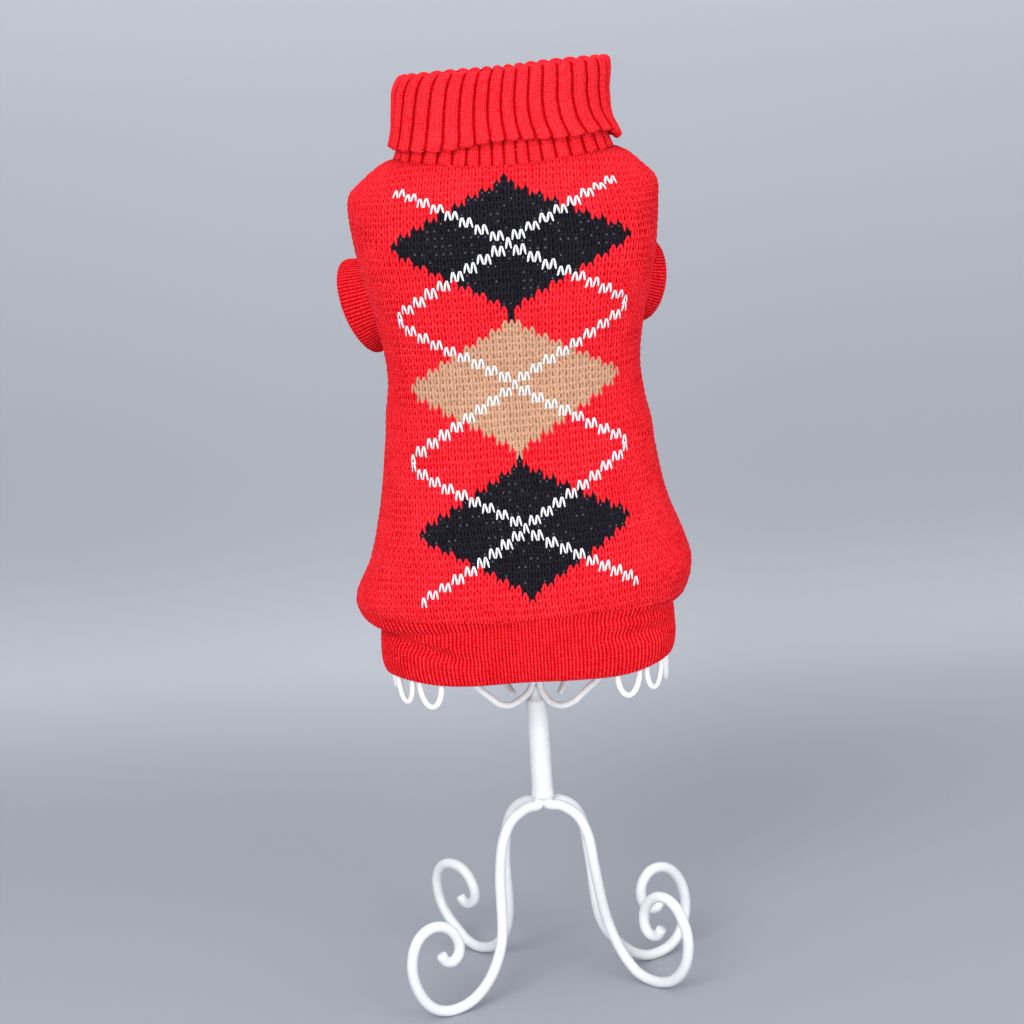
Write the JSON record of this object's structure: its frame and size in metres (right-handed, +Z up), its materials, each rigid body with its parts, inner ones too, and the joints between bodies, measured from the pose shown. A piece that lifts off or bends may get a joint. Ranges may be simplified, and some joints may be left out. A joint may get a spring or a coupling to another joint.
{
  "type": "dog sweater with its wire dress form and stand",
  "caption": "Red knitted argyle dog sweater with a ribbed roll collar, worn by a white wire dress form on a scroll-legged stand.",
  "frame": {"origin": "middle of the bounding box on the floor that the stand's feet touch", "axes": "+Z up through the collar, -Y the side that the argyle faces, +X to the right of someone who looks at the argyle"},
  "size_m": [0.182, 0.1248, 0.5094],
  "materials": {
    "knit_body": "plain knitted yarn, red with an argyle of black, camel and white on the back",
    "knit_rib": "ribbed knitted yarn, red",
    "paint": "white gloss paint on iron wire"
  },
  "bodies": {
    "root": {"back_panel": "knit_body", "belly_panel": "knit_body", "collar": "knit_rib", "hem_band": "knit_rib", "cuff_left": "knit_rib", "cuff_right": "knit_rib", "post": "paint", "leg_front_left": "paint", "leg_front_right": "paint", "leg_back_left": "paint", "leg_back_right": "paint", "hem_hoop": "paint", "neck_ring": "paint", "waist_ring": "paint", "chest_ring": "paint", "upright_1": "paint", "upright_2": "paint", "upright_3": "paint", "upright_4": "paint", "upright_5": "paint", "upright_6": "paint", "loop_1": "paint", "loop_2": "paint", "loop_3": "paint", "loop_4": "paint", "loop_5": "paint", "loop_6": "paint", "loop_7": "paint", "loop_8": "paint", "arm_front_left": "paint", "arm_front_right": "paint", "arm_back_right": "paint", "arm_back_left": "paint"}
  },
  "joints": []
}
